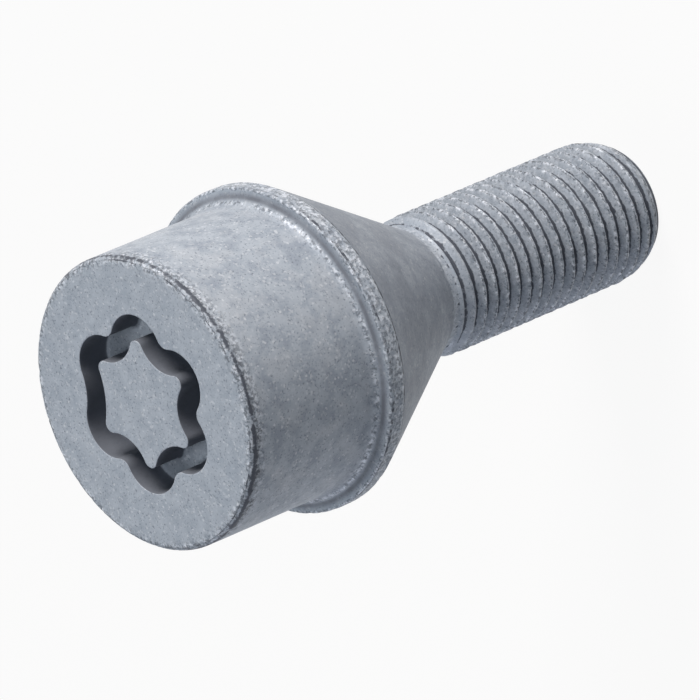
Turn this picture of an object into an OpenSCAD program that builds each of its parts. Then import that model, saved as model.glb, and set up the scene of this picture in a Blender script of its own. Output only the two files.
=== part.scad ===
// Locking wheel bolt: a round head with a coded wave groove in its face,
// a short flange with a cone seat under it, and a threaded shank.
// Millimetres. The bolt stands on its thread end, with +Z towards the head.

/* [Shank] */
// Nominal thread diameter
thread_d = 12; // [11:0.5:14]
// Length from the end of the thread to the face of the head
overall_l = 52.9; // [45:0.1:70]
// Diameter of the flat at the end of the thread
end_flat_d = 9.7; // [8:0.1:10.5]
// Length over which the end rounds down to that flat
end_round_l = 3.2; // [1.5:0.1:5]
// Diameter of the neck between the seat and the thread
neck_d = 10.7; // [9.5:0.1:10.9]
// Length of the plain part of the neck
neck_l = 0.6; // [0.3:0.1:3]
// Length of the slope from the neck out to the thread
neck_slope_l = 0.5; // [0.3:0.1:2]
// Radius where the seat runs into the neck
neck_fillet = 0.6; // [0.2:0.1:1]

/* [Cone seat] */
// Included angle of the cone seat
seat_angle = 60; // [50:1:90]
// How far the flange stands out past the head
flange_step = 1.4; // [0.8:0.1:3]
// Height of the flange's rim
rim_h = 1.3; // [0.8:0.1:3]
// Rounding of the rim's upper edge
rim_round = 0.2; // [0.1:0.05:0.4]

/* [Head] */
// Diameter of the head
head_d = 24; // [20:0.1:28]
// Height of the head above the flange
head_h = 13.75; // [8:0.05:18]
// Radius between the head and the flange
flange_fillet = 1.15; // [0.3:0.05:2]
// Rounding of the edge round the face
face_round = 0.5; // [0.2:0.1:1.5]

/* [Key groove] */
// Number of lobes in the wave
lobes = 6; // [5:1:7]
// Diameter of the circle through the lobes' centres
lobe_circle_d = 9.12; // [8:0.02:10]
// Radius of the outer wall round each lobe
lobe_r = 2.78; // [2.5:0.02:3.2]
// Radius of the outer wall's arc between two lobes
valley_r = 1; // [0.6:0.1:3]
// The same radius at the one shallow valley that codes the groove
code_valley_r = 5.2; // [2:0.1:7]
// Width of the groove
groove_w = 2.1; // [1.4:0.1:2.4]
// Depth of the groove below the face
groove_depth = 3; // [1.5:0.1:6]
// Turn of the first lobe from +X
lobe_turn = 36; // [0:1:60]

/* [Hidden] */
$fn = 96;
thread_r = thread_d / 2;
neck_r = neck_d / 2;
head_r = head_d / 2;
flange_r = head_r + flange_step;
// The fillet leaves room for the rim's rounding on the flange's upper face
fillet_r = min(flange_fillet, flange_step - rim_round);
lobe_circle_r = lobe_circle_d / 2;
lobe_step = 360 / lobes;

// Radius of the arc that rounds the end, tangent to the thread's outside
end_drop = thread_r - end_flat_d / 2;
end_arc_r = (pow(end_round_l, 2) + pow(end_drop, 2)) / (2 * end_drop);

// Heights, from the face of the head down
rim_top_z = overall_l - head_h;
rim_base_z = rim_top_z - rim_h;
seat_h = (flange_r - neck_r) / tan(seat_angle / 2);
neck_top_z = rim_base_z - seat_h;
neck_base_z = neck_top_z - neck_l;
thread_top_z = neck_base_z - neck_slope_l;

// How far a cutter stands out past what it cuts
over = 1;
// How far an arc laps over the line or arc that it touches, so that they join cleanly
lap = 0.0005;

// Valley i lies between lobe i and the next one; its arc touches both lobes
function arc_r(i) = i == 0 ? code_valley_r : valley_r;
function arc_circle_r(i) =
    let (reach = lobe_r + arc_r(i), half_gap = lobe_circle_r * sin(lobe_step / 2))
    lobe_circle_r * cos(lobe_step / 2) + sqrt(pow(reach, 2) - pow(half_gap, 2));

function polar(r, a) = [r * cos(a), r * sin(a)];
function lobe_centre(i) = polar(lobe_circle_r, lobe_turn + i * lobe_step);
function valley_centre(i) = polar(arc_circle_r(i), lobe_turn + (i + 0.5) * lobe_step);

// Outline of straight flanks, right of the axis
module plain_profile() {
    polygon([
        [0, 0],
        [thread_r, 0],
        [thread_r, thread_top_z],
        [neck_r, neck_base_z],
        [neck_r, neck_top_z],
        [flange_r, rim_base_z],
        [flange_r, rim_top_z],
        [head_r, rim_top_z],
        [head_r, overall_l],
        [0, overall_l]
    ]);
}

// What an outer corner at [r, z], facing up, loses to a rounding
module corner_waste(r, z, rounding) {
    difference() {
        translate([r - rounding, z - rounding]) square(rounding + over);
        translate([r - rounding, z - rounding]) circle(rounding + lap);
    }
}

// What the end of the thread loses to its rounding
module end_waste() {
    difference() {
        translate([0, -over]) square([thread_r + over, end_round_l + over]);
        translate([thread_r - end_arc_r, end_round_l]) circle(end_arc_r + lap);
    }
}

// Metal in the corner between the head and the flange
module flange_corner() {
    difference() {
        translate([head_r, rim_top_z]) square(fillet_r);
        translate([head_r + fillet_r, rim_top_z + fillet_r]) circle(fillet_r + lap);
    }
}

// Metal in the blunt corner between the neck and the seat
module neck_corner() {
    run = neck_fillet * tan(seat_angle / 4);
    seat_r = neck_r + run * sin(seat_angle / 2);
    seat_z = neck_top_z + run * cos(seat_angle / 2);
    difference() {
        polygon([
            [0, neck_top_z - run],
            [neck_r + neck_fillet, neck_top_z - run],
            [seat_r, seat_z],
            [0, seat_z]
        ]);
        translate([neck_r + neck_fillet, neck_top_z - run]) circle(neck_fillet + lap);
    }
}

// Half section of the turned body
module turned_profile() {
    difference() {
        union() {
            plain_profile();
            flange_corner();
            neck_corner();
        }
        corner_waste(head_r, overall_l, face_round);
        corner_waste(flange_r, rim_top_z, rim_round);
        end_waste();
    }
}

// Closed wave of lobe and valley arcs, set in from the groove's outer wall
module wave(inset) {
    difference() {
        union() {
            polygon([
                for (i = [0 : lobes - 1]) each [lobe_centre(i), valley_centre(i)]
            ]);
            for (i = [0 : lobes - 1]) translate(lobe_centre(i)) circle(lobe_r - inset + lap);
        }
        for (i = [0 : lobes - 1]) translate(valley_centre(i)) circle(arc_r(i) + inset + lap);
    }
}

// Groove that takes the key, with the island inside it left standing
module key_groove() {
    translate([0, 0, overall_l - groove_depth])
        linear_extrude(groove_depth + over)
            difference() {
                wave(0);
                wave(groove_w);
            }
}

module bolt() {
    color([0.58, 0.60, 0.63])
        difference() {
            rotate_extrude() turned_profile();
            key_groove();
        }
}

bolt();
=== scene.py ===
import math

import bmesh
import bpy
import numpy as np
from mathutils import Matrix, Vector, noise


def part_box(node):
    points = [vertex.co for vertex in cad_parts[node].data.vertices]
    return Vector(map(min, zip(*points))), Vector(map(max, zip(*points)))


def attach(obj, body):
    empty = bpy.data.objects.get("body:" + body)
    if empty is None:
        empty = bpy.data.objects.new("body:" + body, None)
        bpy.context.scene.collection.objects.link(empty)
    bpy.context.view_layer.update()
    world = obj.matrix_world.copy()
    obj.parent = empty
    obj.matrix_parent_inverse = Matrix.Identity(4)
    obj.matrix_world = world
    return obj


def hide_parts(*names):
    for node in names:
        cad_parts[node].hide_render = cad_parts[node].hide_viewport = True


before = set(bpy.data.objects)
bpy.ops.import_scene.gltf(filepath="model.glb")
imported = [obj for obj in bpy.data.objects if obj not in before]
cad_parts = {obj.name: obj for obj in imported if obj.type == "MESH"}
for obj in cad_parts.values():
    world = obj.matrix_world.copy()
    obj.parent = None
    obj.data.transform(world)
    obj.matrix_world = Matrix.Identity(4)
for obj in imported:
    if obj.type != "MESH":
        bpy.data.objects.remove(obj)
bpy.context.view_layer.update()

# The solid's own box gives the length and the flange; all sizes below are in millimetres
METRES = 0.001
bolt_low, bolt_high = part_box("bolt")
top_z = bolt_high[2] / METRES
flange_r = (bolt_high[0] - bolt_low[0]) / 2 / METRES

# Head and flange
head_r = 12.0
face_round = 0.5
head_h = 13.75
flange_fillet = 1.15
rim_round = 0.2
rim_h = 1.3
rim_edge = 0.05
rim_top_z = top_z - head_h
rim_base_z = rim_top_z - rim_h

# Cone seat and neck
seat_half_angle = math.radians(30)
neck_r = 5.35
neck_fillet = 0.6
neck_l = 0.6
neck_slope_l = 0.5
neck_top_z = rim_base_z - (flange_r - neck_r) / math.tan(seat_half_angle)
neck_base_z = neck_top_z - neck_l

# Key groove: lobe arcs and valley arcs that touch, the first valley shallow
lobes = 6
lobe_step = 2 * math.pi / lobes
lobe_turn = math.radians(36)
lobe_circle_r = 4.56
lobe_r = 2.78
valley_r = [5.2, 1, 1, 1, 1, 1]
groove_w = 2.1
groove_depth = 3.0
groove_edge = 0.06
groove_corner = 0.35
floor_z = top_z - groove_depth

# Thread
thread_r = 5.95
thread_start_r = 5.85
pitch = 1.25
crest_half = pitch / 16
crest_round = 0.05
root_round = 0.18
flank_slope = math.tan(math.radians(60))
run_out = 1.3 * pitch
end_flat_r = 4.85
end_round_l = 3.2
run_out_depth = 0.62

# How finely the surface is divided round the axis
HEAD_COLUMNS = 360
SHANK_COLUMNS = 120

# What is kept at each point for the material: wear with painted glints, painted shade with dark patches,
# and a painted shade film
MARKS = ("wear_and_glint", "shade_and_dark_patches", "painted_shade")

# Marks of the groove's walls, a painted shade film, and of the edge round the face, with the side that is
# darkest
wall_painted_shade = 2.6
face_edge_wear = 0.45
corner_wear = 0.8
dark_side_angle = math.radians(215)
dark_side_corner = 0.08
dark_side_below = 0.6

# Marks of the flange's ridge, its rim and the seat's edge: a painted highlight along the ridge, with a
# darker line below it
ridge_highlight = 0.75
ridge_side_wear = 0.6
ridge_dark_line = 0.45
rim_wear = 0.65
rim_base_wear = 0.78

# Marks of the neck and the thread: painted glints along the crests' edges, partly scuffed metal, and
# painted shade in the roots
neck_wear = 0.3
flank_wear = 0.22
crest_glint_and_wear = 0.95
crest_tail_glint_and_wear = 1.0
root_shade_start = 0.6
root_shade_span = 0.3

# How deep and how fine the dents of the worn edges and of the painted glint lines, and the thread's
# unevenness, are
dent_depth, dent_scale = 0.15, 2.4
nick_depth, nick_scale = 0.03, 7.0
roll_depth, roll_scale = 0.07, 3.1
grain_depth, grain_scale = 0.05, 6.7
seam_fade = 0.25


# Rings of points round the axis

def angles(columns):
    return np.arange(columns) * (2 * math.pi / columns)


def ring(radius, z, wear_and_glint=0.0, shade_and_dark_patches=0.0, painted_shade=0.0, columns=HEAD_COLUMNS):
    """A row of points round the axis: radius, height and the three marks at each angle."""
    return np.stack([np.ones(columns) * value for value in (radius, z, wear_and_glint, shade_and_dark_patches, painted_shade)])


def arc(centre, radius, start, end, steps):
    """Points of an arc from one angle to another, in degrees, both ends included."""
    turn = np.radians(np.linspace(start, end, steps + 1))
    return [(centre[0] + radius * math.cos(a), centre[1] + radius * math.sin(a)) for a in turn]


def between(start, end, steps):
    """Points of a straight line without its two ends."""
    share = np.linspace(0, 1, steps + 2)[1:-1]
    return [(start[0] + (end[0] - start[0]) * s, start[1] + (end[1] - start[1]) * s) for s in share]


def wave(inset, columns=HEAD_COLUMNS):
    """Radius of the groove's outer wall at each angle, set in by a distance."""
    radius = np.zeros(columns)
    bump_r = lobe_r - inset
    half = lobe_step / 2
    for column, angle in enumerate(angles(columns)):
        index = math.floor((angle - lobe_turn + half) / lobe_step)
        off = angle - lobe_turn - index * lobe_step
        valley = valley_r[(index if off > 0 else index - 1) % lobes]
        reach = lobe_r + valley
        out = lobe_circle_r * math.cos(half) + math.sqrt(reach ** 2 - (lobe_circle_r * math.sin(half)) ** 2)
        toward = (out * math.cos(half) - lobe_circle_r, out * math.sin(half))
        touch_x = lobe_circle_r + toward[0] * bump_r / reach
        touch_y = toward[1] * bump_r / reach
        off = abs(off)
        if off <= math.atan2(touch_y, touch_x):
            side = lobe_circle_r * math.sin(off)
            radius[column] = lobe_circle_r * math.cos(off) + math.sqrt(bump_r ** 2 - side ** 2)
        else:
            side = out * math.sin(half - off)
            radius[column] = out * math.cos(half - off) - math.sqrt((valley + inset) ** 2 - side ** 2)
    return radius


def island_rings():
    """Top of the island, from near its middle out to its edge."""
    edge = wave(groove_w + groove_edge)
    shares = (0.08, 0.3, 0.55, 0.78, 0.9, 0.96)
    return [ring(edge * share, top_z) for share in shares]


def groove_rings():
    """Island's edge, inner wall, floor, outer wall and the groove's outer edge."""
    e, f, w = groove_edge, groove_corner, groove_w
    path = arc((w + e, top_z - e), e, 90, 180, 4)
    path += between((w, top_z - e), (w, floor_z + f), 7)
    path += arc((w - f, floor_z + f), f, 0, -90, 4)
    path += between((w - f, floor_z), (f, floor_z), 3)
    path += arc((f, floor_z + f), f, -90, -180, 4)
    path += between((0, floor_z + f), (0, top_z - e), 7)
    path += arc((-e, top_z - e), e, 0, 90, 4)
    rows = []
    for inset, z in path:
        depth = (top_z - z) / groove_depth
        on_wall = min(inset, w - inset) < 0.05
        # Painted shade: a darker film on the groove's walls
        rows.append(ring(wave(inset), z, painted_shade=wall_painted_shade * on_wall * (depth > 0.02)))
    return rows


def face_rings():
    """Flat face from the groove's edge to the outer rounding."""
    start = wave(-0.5)
    flat_r = head_r - face_round
    rows = [ring(wave(-inset), top_z) for inset in (0.12, 0.25, 0.5)]
    for share in (0.25, 0.5, 0.75, 0.92):
        rows.append(ring(start + (flat_r - 0.1 - start) * share, top_z))
    rows.append(ring(flat_r - 0.1, top_z, face_edge_wear))
    return rows


def turned_rings():
    """Head's outside, flange and rim, down to the edge of the cone seat."""
    flat_r = head_r - face_round
    corner_z = top_z - face_round
    corner = arc((flat_r, corner_z), face_round, 90, 0, 8)
    # Darker patches round the face's rounded corner, step by step: dark patches of the worn edge, and
    # painted shade on the rounding's outer half
    corner_darkening = {2: 0.5, 3: 0.3, 4: 0.35, 5: 0.5, 6: 0.6, 7: 0.6, 8: 0.5}
    # Extra darkening on one side of the head, strongest at the given angle
    side_share = np.clip(np.cos(angles(HEAD_COLUMNS) - dark_side_angle), 0, 1) ** 2
    path = []
    for step, place in enumerate(corner):
        darkening = corner_darkening.get(step, 0) + dark_side_corner * side_share * (step > 4)
        path.append((place, corner_wear, darkening, 0))
    # Broken edge below the corner: how far down, wear, and darkening that is stronger on the darker side
    broken = ((0.15, 0.85, 0.3), (0.35, 0.75, 0.25), (0.6, 0.6, 0.2), (0.9, 0.4, 0.1), (1.2, 0, 0))
    for down, wear_and_glint, darkening in broken:
        path.append(((head_r, corner_z - down), wear_and_glint, darkening * (1 + dark_side_below * side_share), 0))
    fillet_z = rim_top_z + flange_fillet
    path += [(p, 0, 0, 0) for p in between((head_r, corner_z - broken[-1][0]), (head_r, fillet_z), 14)]
    fillet = arc((head_r + flange_fillet, fillet_z), flange_fillet, 180, 270, 12)
    # Painted highlight: a bright line on the fillet, set with the wear mark; painted shade on the fillet's
    # lower part towards the ledge
    glint_and_wear = {4: 0.5, 5: 0.78, 6: 0.78}
    shaded = {7: 0.7, 8: 1.6, 9: 1.6, 10: 1.0, 11: 0.35}
    path += [(p, glint_and_wear.get(step, 0), 0, shaded.get(step, 0)) for step, p in enumerate(fillet)]
    # Painted highlight along the rim's rounded top edge, with a darker line just below it
    ridge = arc((flange_r - rim_round, rim_top_z - rim_round), rim_round, 90, 0, 5)
    path += [(p, ridge_highlight, 0, 0) for p in ridge[:4]]
    path += [(p, ridge_side_wear, ridge_dark_line, 0) for p in ridge[4:]]
    side_top, side_base = ridge[-1], (flange_r, rim_base_z + rim_edge)
    for down, darkening in ((0.15, ridge_dark_line), (0.25, 0)):
        path.append(((flange_r, side_top[1] - down), ridge_side_wear, darkening, 0))
    path += [(p, rim_wear, 0, 0) for p in between((flange_r, side_top[1] - 0.25), side_base, 4)]
    path += [(p, rim_base_wear, 0, 0) for p in (side_base, (flange_r - 0.01, rim_base_z))]
    return [ring(r, z, wear_and_glint, shade_and_dark_patches, painted_shade) for (r, z), wear_and_glint, shade_and_dark_patches, painted_shade in path]


def seat_rings():
    """Cone seat and neck, down to where the thread's slope begins."""
    run = neck_fillet * math.tan(seat_half_angle / 2)
    foot = (neck_r + run * math.sin(seat_half_angle), neck_top_z + run * math.cos(seat_half_angle))
    edge_in = rim_edge * math.sin(seat_half_angle)
    edge_down = rim_edge * math.cos(seat_half_angle)
    path = [((flange_r - edge_in, rim_base_z - edge_down), rim_base_wear, 0, 0)]
    # Rows below the rim's edge: wear, darkening and a painted shade film, which goes on over the whole cone
    # seat down to the neck
    edge_marks = ((0.2, 0.7, 0, 0), (0.3, 0.5, 0.5, 0.5), (0.45, 0.4, 0.5, 1), (0.55, 0, 0, 1))
    for down, wear_and_glint, darkening, painted_shade in edge_marks:
        low = (flange_r - down * math.tan(seat_half_angle), rim_base_z - down)
        path.append((low, wear_and_glint, darkening, painted_shade))
    path += [(p, 0, 0, 1) for p in between(low, foot, 12)]
    turn = math.degrees(seat_half_angle)
    curve = arc((neck_r + neck_fillet, neck_top_z - run), neck_fillet, 180 - turn, 180, 5)
    path += [(p, neck_wear, 0, 1.0 * (step < 2)) for step, p in enumerate(curve)]
    path.append(((neck_r, neck_base_z), neck_wear, 0, 0))
    return [ring(r, z, wear_and_glint, shade_and_dark_patches, painted_shade, SHANK_COLUMNS) for (r, z), wear_and_glint, shade_and_dark_patches, painted_shade in path]


# Thread: a sheet whose rows follow the helix, so that one turn joins the next

root_depth = (pitch / 2 - crest_half) * flank_slope - root_round


def thread_depth(along):
    """Depth below the crest at a distance along the axis from the crest's middle."""
    bend = crest_round * math.tan(math.radians(30))
    flat_end = crest_half - bend
    if along <= flat_end:
        return 0.0
    if along <= crest_half + bend / 2:
        return crest_round - math.sqrt(crest_round ** 2 - (along - flat_end) ** 2)
    if along <= pitch / 2 - root_round * math.sin(math.radians(60)):
        return (along - crest_half) * flank_slope
    return root_depth - root_round + math.sqrt(root_round ** 2 - (along - pitch / 2) ** 2)


def row_places():
    """Distances along one pitch at which the sheet has a row."""
    half = [0.0, 0.049, 0.073, 0.092, 0.19, 0.3, 0.4, 0.469, 0.53, 0.58, 0.625]
    return half + [pitch - along for along in half[-2:0:-1]]


def shank_limit(z):
    """Radius that the end's rounding and the slope at the neck leave at a height."""
    drop = thread_r - end_flat_r
    round_r = (end_round_l ** 2 + drop ** 2) / (2 * drop)
    limit = neck_r + (neck_base_z - z) * (thread_r - neck_r) / neck_slope_l
    low = z < end_round_l
    rounding = thread_r - round_r + np.sqrt(round_r ** 2 - np.clip(end_round_l - z, 0, None) ** 2)
    return np.minimum(limit, np.where(low, rounding, thread_r))


def thread_sheet():
    """Rows of the threaded shank from the end up, and how many rows make one turn."""
    places = row_places()
    turns = math.ceil(neck_base_z / pitch) + 1
    rise = angles(SHANK_COLUMNS) * pitch / (2 * math.pi)
    rows = []
    for turn in range(turns):
        for along in places:
            z = np.clip(rise + (turn - 1) * pitch + along, 0, neck_base_z)
            from_crest = min(along, pitch - along)
            depth = thread_depth(from_crest)
            start = np.clip((neck_base_z - neck_slope_l - z) / run_out, 0, 1)
            start = start * start * (3 - 2 * start)
            crest_r = thread_start_r + (thread_r - thread_start_r) * start
            fade = run_out_depth + (1 - run_out_depth) * start
            limit = shank_limit(z)
            radius = np.minimum(crest_r - depth * fade, limit)
            # Crest edges get painted glints, partly scuffed metal, wider on the tail side
            tail_side = along > pitch / 2
            on_edge = 0.03 < from_crest < (0.2 if tail_side else 0.12)
            on_crest = crest_tail_glint_and_wear if tail_side else crest_glint_and_wear
            glint_and_wear = on_crest if on_edge else flank_wear
            # Painted shade in the thread's roots, deepest at the bottom of each root
            low = min(1.0, max(0.0, depth / root_depth - root_shade_start) / root_shade_span)
            rows.append(np.stack([radius, z, glint_and_wear * start, low * fade, 0 * z]))
    return rows, len(places)


# Joining the rows into one closed surface

def ring_points(rows):
    """Corner points and marks of rows that all have the same number of columns."""
    turn = angles(rows[0].shape[1])
    places = [np.stack([row[0] * np.cos(turn), row[0] * np.sin(turn), row[1]], axis=1) for row in rows]
    marks = [row[2:].T for row in rows]
    return np.concatenate(places), np.concatenate(marks)


def ring_faces(first, rows, columns):
    """Four-sided faces between rows of a stack that starts at point `first`."""
    faces = []
    for row in range(rows - 1):
        upper = first + row * columns
        lower = upper + columns
        for column in range(columns):
            after = (column + 1) % columns
            faces.append((upper + column, lower + column, lower + after, upper + after))
    return faces


def narrowing_faces(wide, narrow):
    """Faces from a head ring to a shank ring, which has a third of its columns."""
    faces = []
    share = HEAD_COLUMNS // SHANK_COLUMNS
    for column in range(SHANK_COLUMNS):
        after = (column + 1) % SHANK_COLUMNS
        a, b, c = (wide + column * share + step for step in range(share))
        d = wide + after * share
        p, q = narrow + column, narrow + after
        faces += [(a, p, b), (b, p, q, c), (c, q, d)]
    return faces


def helix_faces(first, rows, per_turn):
    """Faces of the thread's sheet; the last column meets the first one a turn further up."""
    faces = []
    columns = SHANK_COLUMNS
    for row in range(rows - 1):
        for column in range(columns):
            low_a = first + row * columns + column
            high_a = low_a + columns
            if column + 1 < columns:
                low_b, high_b = low_a + 1, high_a + 1
            else:
                low_b = first + min(row + per_turn, rows - 1) * columns
                high_b = first + min(row + per_turn + 1, rows - 1) * columns
            faces.append((low_a, low_b, high_b, high_a))
    return faces


def fan(centre, first, columns, up):
    """Triangles from a centre point to a ring."""
    pairs = [(first + c, first + (c + 1) % columns) for c in range(columns)]
    return [(centre, a, b) if up else (centre, b, a) for a, b in pairs]


def build_bolt():
    """Whole bolt as one closed surface with its marks kept at each point."""
    head = island_rings() + groove_rings() + face_rings() + turned_rings()
    seat = seat_rings()
    thread, per_turn = thread_sheet()
    end = [ring(r, 0, columns=SHANK_COLUMNS) for r in (end_flat_r, end_flat_r - 0.3, 3.2, 1.6)]
    poles = np.array([[0, 0, top_z], [0, 0, 0]])
    points, marks, faces = [poles], [np.zeros((2, len(MARKS)))], []
    start = {}
    total = len(poles)
    for name, rows in (("head", head), ("seat", seat), ("thread", thread), ("end", end)):
        places, values = ring_points(rows)
        points.append(places)
        marks.append(values)
        start[name] = total
        total += len(places)
    faces += fan(0, start["head"], HEAD_COLUMNS, True)
    faces += ring_faces(start["head"], len(head), HEAD_COLUMNS)
    faces += narrowing_faces(start["seat"] - HEAD_COLUMNS, start["seat"])
    faces += ring_faces(start["seat"], len(seat), SHANK_COLUMNS)
    faces += helix_faces(start["thread"], len(thread), per_turn)
    faces += ring_faces(start["end"], len(end), SHANK_COLUMNS)
    faces += fan(1, total - SHANK_COLUMNS, SHANK_COLUMNS, False)
    points, marks = np.concatenate(points), np.concatenate(marks)
    points = roughened(points, marks)
    points = grained(points, marks, start["thread"], start["end"])
    return as_object("bolt_body", points, marks, faces)


def kept_share(z):
    """Share of the unevenness kept at a height: none where the thread meets the neck and the end."""
    return min(1.0, min(z, abs(neck_base_z - z)) / seam_fade)


def roughened(points, marks):
    """Small dents and rolls of the scuffed edges and of the painted glint lines, always into the metal."""
    moved = points.copy()
    for index in np.nonzero(marks[:, 0] > 0.3)[0]:
        place = Vector(points[index])
        dent = max(0.0, noise.fractal(place * dent_scale, 0.6, 2.1, 3) - 0.05)
        nick = abs(noise.noise(place * nick_scale))
        inward = (dent * dent_depth + nick * nick_depth) * marks[index, 0] * kept_share(points[index, 2])
        radius = math.hypot(place.x, place.y)
        on_side = radius > head_r - 0.01 or place.z < neck_base_z
        if on_side:
            moved[index, :2] *= 1 - inward / radius
        else:
            moved[index, 2] -= inward
    return moved


def grained(points, marks, first, last):
    """Rolled thread's fine unevenness, always into the metal."""
    moved = points.copy()
    for index in range(first, last):
        place = Vector(points[index])
        roll = abs(noise.noise(place * roll_scale)) * roll_depth
        grain = abs(noise.noise(place * grain_scale)) * grain_depth
        inward = (roll + grain) * kept_share(points[index, 2])
        radius = math.hypot(place.x, place.y)
        moved[index, :2] *= 1 - inward / radius
    return moved


def as_object(name, points, marks, faces):
    mesh = bpy.data.meshes.new(name)
    mesh.from_pydata((points * METRES).tolist(), [], faces)
    for column, layer in enumerate(MARKS):
        values = mesh.attributes.new(layer, "FLOAT", "POINT")
        values.data.foreach_set("value", marks[:, column].astype(np.float32))
    work = bmesh.new()
    work.from_mesh(mesh)
    bmesh.ops.remove_doubles(work, verts=work.verts, dist=0.00004 * METRES)
    bmesh.ops.dissolve_degenerate(work, edges=work.edges, dist=0.00004 * METRES)
    bmesh.ops.recalc_face_normals(work, faces=work.faces)
    work.to_mesh(mesh)
    work.free()
    mesh.shade_smooth()
    mesh.set_sharp_from_angle(angle=math.radians(50))
    piece = bpy.data.objects.new(name, mesh)
    bpy.context.scene.collection.objects.link(piece)
    return piece


# Materials

class Nodes:
    """Short way to add and join the nodes of one material."""

    def __init__(self, name):
        self.material = bpy.data.materials.new(name)
        self.material.use_nodes = True
        self.tree = self.material.node_tree
        self.tree.nodes.clear()

    def add(self, kind, **settings):
        node = self.tree.nodes.new(kind)
        for key, value in settings.items():
            setattr(node, key, value)
        return node

    def put(self, socket, value):
        if isinstance(value, bpy.types.NodeSocket):
            self.tree.links.new(value, socket)
        else:
            socket.default_value = value

    def noise(self, scale, detail=2.0, rough=0.5):
        node = self.add("ShaderNodeTexNoise")
        self.put(node.inputs["Vector"], self.place)
        for name, value in (("Scale", scale), ("Detail", detail), ("Roughness", rough)):
            self.put(node.inputs[name], value)
        return node.outputs["Fac"]

    def cells(self, scale, part="Color"):
        node = self.add("ShaderNodeTexVoronoi")
        self.put(node.inputs["Vector"], self.place)
        self.put(node.inputs["Scale"], scale)
        return node.outputs[part]

    def ranged(self, value, low, high, to_low=0.0, to_high=1.0):
        node = self.add("ShaderNodeMapRange")
        for name, number in zip(("Value", "From Min", "From Max", "To Min", "To Max"),
                                (value, low, high, to_low, to_high)):
            self.put(node.inputs[name], number)
        return node.outputs["Result"]

    def maths(self, how, a, b):
        node = self.add("ShaderNodeMath", operation=how)
        self.put(node.inputs[0], a)
        self.put(node.inputs[1], b)
        return node.outputs[0]

    def blend(self, share, a, b):
        node = self.add("ShaderNodeMix", data_type="RGBA")
        self.put(node.inputs["Factor"], share)
        self.put(node.inputs["A"], a)
        self.put(node.inputs["B"], b)
        return node.outputs["Result"]

    def around(self, length):
        """Place on the surface with the way round the axis squeezed, for marks that run round it."""
        flat = self.vector("MULTIPLY", self.place, (1, 1, 0))
        circle = self.vector("SCALE", self.vector("NORMALIZE", flat), length * METRES)
        height = self.vector("MULTIPLY", self.place, (0, 0, 1))
        out = self.add("ShaderNodeCombineXYZ")
        self.put(out.inputs["Z"], self.length(flat))
        return self.vector("SUBTRACT", self.vector("ADD", circle, height), out.outputs[0])

    def vector(self, how, a, b=None):
        node = self.add("ShaderNodeVectorMath", operation=how)
        self.put(node.inputs[0], a)
        if how == "SCALE":
            self.put(node.inputs["Scale"], b)
        elif b is not None:
            self.put(node.inputs[1], b)
        return node.outputs["Vector"]

    def upward(self):
        """How far the surface faces along the axis, 1 where it faces straight along it."""
        parts = self.add("ShaderNodeSeparateXYZ")
        self.put(parts.inputs[0], self.add("ShaderNodeTexCoord").outputs["Normal"])
        return self.maths("ABSOLUTE", parts.outputs["Z"], 0.0)

    def length(self, a):
        node = self.add("ShaderNodeVectorMath", operation="LENGTH")
        self.put(node.inputs[0], a)
        return node.outputs["Value"]

    def attribute(self, name):
        return self.add("ShaderNodeAttribute", attribute_name=name).outputs["Fac"]

    def bump(self, height, strength, distance, under=None):
        node = self.add("ShaderNodeBump")
        self.put(node.inputs["Height"], height)
        self.put(node.inputs["Strength"], strength)
        self.put(node.inputs["Distance"], distance * METRES)
        if under is not None:
            self.put(node.inputs["Normal"], under)
        return node.outputs["Normal"]


# Colours of the coating, its flakes and clouds, a painted shade film for the hollows and shaded faces, the
# worn metal, which also paints glints, and the dark of painted shade
COAT = (0.315, 0.36, 0.42, 1)
COAT_LIGHT = (0.385, 0.43, 0.49, 1)
CLOUD_DARK = (0.24, 0.275, 0.335, 1)
CLOUD_LIGHT = (0.50, 0.53, 0.57, 1)
FLAKE = (0.62, 0.65, 0.69, 1)
# Painted shade: a darker film on the groove's walls, the flange's ledge and the cone seat
PAINTED_SHADE_FILM = (0.15, 0.165, 0.195, 1)
SPECK = (0.13, 0.15, 0.185, 1)
# Bare metal of scuffed edges, which also paints glints on the thread's crests and highlight lines on the
# flange
BARE_METAL_AND_GLINT = (0.75, 0.80, 0.88, 1)
PIT = (0.08, 0.092, 0.11, 1)
SCRATCH = (0.06, 0.07, 0.085, 1)
# Dark of painted shade in the thread's roots and round the face's corner, and of dark patches on worn edges
SHADE_AND_PATCH_DARK = (0.08, 0.09, 0.112, 1)


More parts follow.
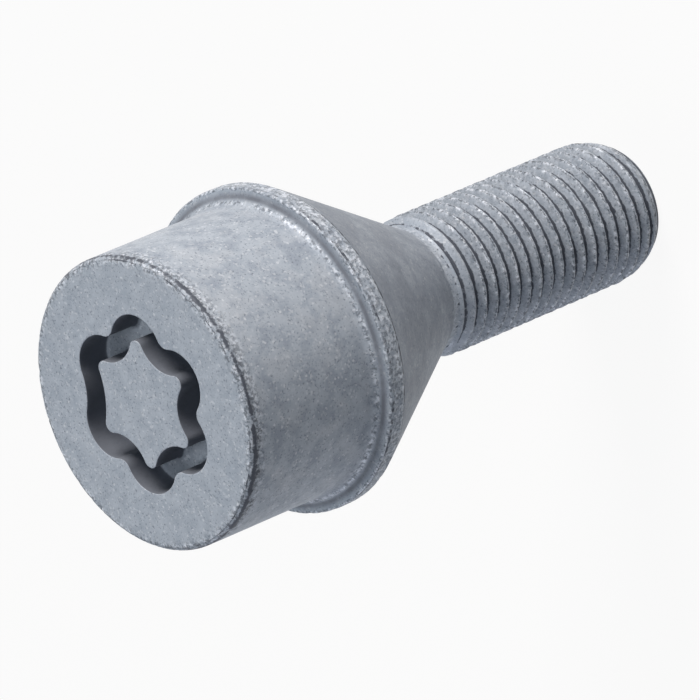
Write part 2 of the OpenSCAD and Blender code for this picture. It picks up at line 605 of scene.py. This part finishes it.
def zinc_flake():
    """Matt grey coating of zinc flakes: speckled, mottled, bright along its scuffed edges, with painted
    glints, painted shade and a painted shade film.
    """
    n = Nodes("zinc_flake")
    n.place = n.add("ShaderNodeTexCoord").outputs["Object"]
    specks = n.noise(5600, 2.0, 0.6)
    grains = n.noise(2300, 3.0, 0.6)
    pits = n.noise(3400, 2.0, 0.6)
    mottle = n.noise(750, 4.0, 0.6)
    blotches = n.noise(330, 4.0, 0.6)
    flakes = n.cells(5600)
    on_side = n.ranged(n.upward(), 0.9, 0.3)
    wear_and_glint = n.attribute("wear_and_glint")
    shade_and_dark_patches = n.attribute("shade_and_dark_patches")
    painted_shade = n.attribute("painted_shade")
    n.place = n.around(2.5)
    scratches = n.noise(6000, 3.0, 0.65)

    coat = n.blend(n.ranged(mottle, 0.35, 0.65), COAT, COAT_LIGHT)
    dark = n.maths("MULTIPLY", on_side, n.ranged(mottle, 0.36, 0.54, 0.4, 0.0))
    coat = n.blend(dark, coat, CLOUD_DARK)
    light = n.maths("MULTIPLY", on_side, n.ranged(blotches, 0.5, 0.62, 0.0, 0.3))
    coat = n.blend(light, coat, CLOUD_LIGHT)
    coat = n.blend(n.ranged(flakes, 0.75, 0.95, 0.0, 0.6), coat, FLAKE)
    # Painted shade film where the painted shade mark is set, a little uneven
    shade_film = n.maths("MULTIPLY", painted_shade, n.ranged(blotches, 0.42, 0.58, 0.6, 0.42))
    coat = n.blend(shade_film, coat, PAINTED_SHADE_FILM)
    coat = n.blend(n.ranged(specks, 0.31, 0.42, 0.7, 0.0), coat, SPECK)
    # Scuffed bright metal, which also paints glints on the crests and highlight lines
    edge_marks = n.maths("MULTIPLY", wear_and_glint, n.ranged(grains, 0.5, 0.6))
    coat = n.blend(n.maths("MULTIPLY", edge_marks, 0.75), coat, BARE_METAL_AND_GLINT)
    pitted = n.maths("MULTIPLY", wear_and_glint, n.ranged(pits, 0.42, 0.5, 1.0, 0.0))
    coat = n.blend(n.maths("MULTIPLY", pitted, 0.8), coat, PIT)
    scored = n.maths("MULTIPLY", n.ranged(wear_and_glint, 0.8, 1.0), n.ranged(scratches, 0.44, 0.5, 1.0, 0.0))
    coat = n.blend(n.maths("MULTIPLY", scored, 0.8), coat, SCRATCH)
    # Painted shade and dark patches, broken up by noise
    shade = n.ranged(n.maths("ADD", n.maths("ADD", shade_and_dark_patches, grains), mottle), 1.4, 1.6)
    coat = n.blend(shade, coat, SHADE_AND_PATCH_DARK)

    rough = n.ranged(grains, 0.3, 0.7, 0.42, 0.62)
    rough = n.maths("SUBTRACT", rough, n.maths("MULTIPLY", edge_marks, 0.2))
    rough = n.maths("ADD", rough, n.maths("MULTIPLY", shade_and_dark_patches, 0.15))
    relief = n.bump(mottle, 0.35, 0.05)
    relief = n.bump(grains, 0.5, 0.03, relief)
    relief = n.bump(specks, 0.5, 0.015, relief)

    shader = n.add("ShaderNodeBsdfPrincipled")
    n.put(shader.inputs["Base Color"], coat)
    n.put(shader.inputs["Metallic"], 0.12)
    n.put(shader.inputs["Specular IOR Level"], 0.15)
    n.put(shader.inputs["Roughness"], rough)
    n.put(shader.inputs["Normal"], relief)
    out = n.add("ShaderNodeOutputMaterial")
    n.put(out.inputs["Surface"], shader.outputs["BSDF"])
    return n.material


def seen_directly(n, share):
    """Light paths that show the background: straight from the camera, or by reflection."""
    path = n.add("ShaderNodeLightPath")
    seen = n.maths("MAXIMUM", path.outputs["Is Camera Ray"], path.outputs["Is Glossy Ray"])
    seen = n.maths("MAXIMUM", seen, path.outputs["Is Transmission Ray"])
    return n.maths("MULTIPLY", seen, share)


def floor_white():
    """Pale floor that looks white and still takes a faint shadow."""
    n = Nodes("floor_white")
    paper = n.add("ShaderNodeBsdfDiffuse")
    n.put(paper.inputs["Color"], (0.72, 0.72, 0.72, 1))
    glow = n.add("ShaderNodeEmission")
    n.put(glow.inputs["Strength"], 1.0)
    mix = n.add("ShaderNodeMixShader")
    n.put(mix.inputs[0], seen_directly(n, 0.92))
    n.put(mix.inputs[1], paper.outputs[0])
    n.put(mix.inputs[2], glow.outputs[0])
    out = n.add("ShaderNodeOutputMaterial")
    n.put(out.inputs["Surface"], mix.outputs[0])
    return n.material


# Studio

LAMP_DISTANCE = 0.8
SOFT_LIGHT = 0.02

# Name, azimuth and elevation in degrees, side in metres, power in watts and colour of each lamp
LAMPS = (
    ("key", 66, 21, 0.35, 7.7, (1, 0.94, 0.89)),
    ("top", 20, 84, 0.32, 0.9, (0.94, 0.975, 1)),
    ("back", 180, 40, 0.32, 1.1, (0.94, 0.975, 1)),
    ("front", 0, 45, 0.32, 0.65, (0.84, 0.89, 1)),
    ("side", -120, 10, 0.32, 1.8, (0.9, 0.91, 1)),
)


def add_floor():
    mesh = bpy.data.meshes.new("floor")
    side = 3.0
    corners = [(x * side, y * side, 0) for x, y in ((-1, -1), (1, -1), (1, 1), (-1, 1))]
    mesh.from_pydata(corners, [], [(0, 1, 2, 3)])
    mesh.materials.append(floor_white())
    floor = bpy.data.objects.new("floor", mesh)
    bpy.context.scene.collection.objects.link(floor)


def add_world(soft_light):
    world = bpy.data.worlds.new("studio")
    bpy.context.scene.world = world
    world.use_nodes = True
    tree = world.node_tree
    tree.nodes.clear()
    path = tree.nodes.new("ShaderNodeLightPath")
    seen = tree.nodes.new("ShaderNodeMath")
    seen.operation = "MAXIMUM"
    tree.links.new(path.outputs["Is Camera Ray"], seen.inputs[0])
    tree.links.new(path.outputs["Is Glossy Ray"], seen.inputs[1])
    both = tree.nodes.new("ShaderNodeMath")
    both.operation = "MAXIMUM"
    tree.links.new(seen.outputs[0], both.inputs[0])
    tree.links.new(path.outputs["Is Transmission Ray"], both.inputs[1])
    strength = tree.nodes.new("ShaderNodeMapRange")
    tree.links.new(both.outputs[0], strength.inputs["Value"])
    strength.inputs["To Min"].default_value = soft_light
    strength.inputs["To Max"].default_value = 1.0
    sky = tree.nodes.new("ShaderNodeBackground")
    tree.links.new(strength.outputs["Result"], sky.inputs["Strength"])
    sky.inputs["Color"].default_value = (1, 1, 1, 1)
    out = tree.nodes.new("ShaderNodeOutputWorld")
    tree.links.new(sky.outputs[0], out.inputs["Surface"])


def toward(azimuth, elevation):
    """Direction seen from the bolt; azimuth 0 is -Y and 90 is +X, in degrees."""
    a, e = math.radians(azimuth), math.radians(elevation)
    return Vector((math.sin(a) * math.cos(e), -math.cos(a) * math.cos(e), math.sin(e)))


def add_lamp(name, azimuth, elevation, size, power, colour):
    """Square soft lamp that looks at the bolt's middle."""
    lamp = bpy.data.lights.new(name, "AREA")
    lamp.shape = "SQUARE"
    lamp.size = size
    lamp.energy = power
    lamp.color = colour
    thing = bpy.data.objects.new(name, lamp)
    bpy.context.scene.collection.objects.link(thing)
    back = toward(azimuth, elevation)
    thing.location = Vector((0, 0, top_z * METRES * 0.6)) + back * LAMP_DISTANCE
    thing.rotation_euler = back.to_track_quat("Z", "Y").to_euler()


def add_camera():
    """Long lens, looking down at the face with the shank running to the upper right."""
    azimuth, elevation, roll = 0.21, 40.0, math.radians(-113.13)
    distance = 0.86378
    target = Vector((-2.4, 0, 31.52)) * METRES
    back = toward(azimuth, elevation)
    level = toward(azimuth + 90, 0)
    right = level * math.cos(roll) + back.cross(level) * math.sin(roll)
    camera = bpy.data.cameras.new("camera")
    camera.sensor_width = 36
    camera.lens = 565.7
    camera.clip_start = 0.01
    camera.clip_end = 10
    thing = bpy.data.objects.new("camera", camera)
    bpy.context.scene.collection.objects.link(thing)
    turn = Matrix((right, back.cross(right), back)).transposed().to_4x4()
    thing.matrix_world = Matrix.Translation(target + back * distance) @ turn
    bpy.context.scene.camera = thing


bolt_body = build_bolt()
bolt_body.data.materials.append(zinc_flake())
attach(bolt_body, "root")
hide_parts("bolt")

add_floor()
add_world(SOFT_LIGHT)
for lamp in LAMPS:
    add_lamp(*lamp)
add_camera()
bpy.context.scene.view_settings.view_transform = "Standard"
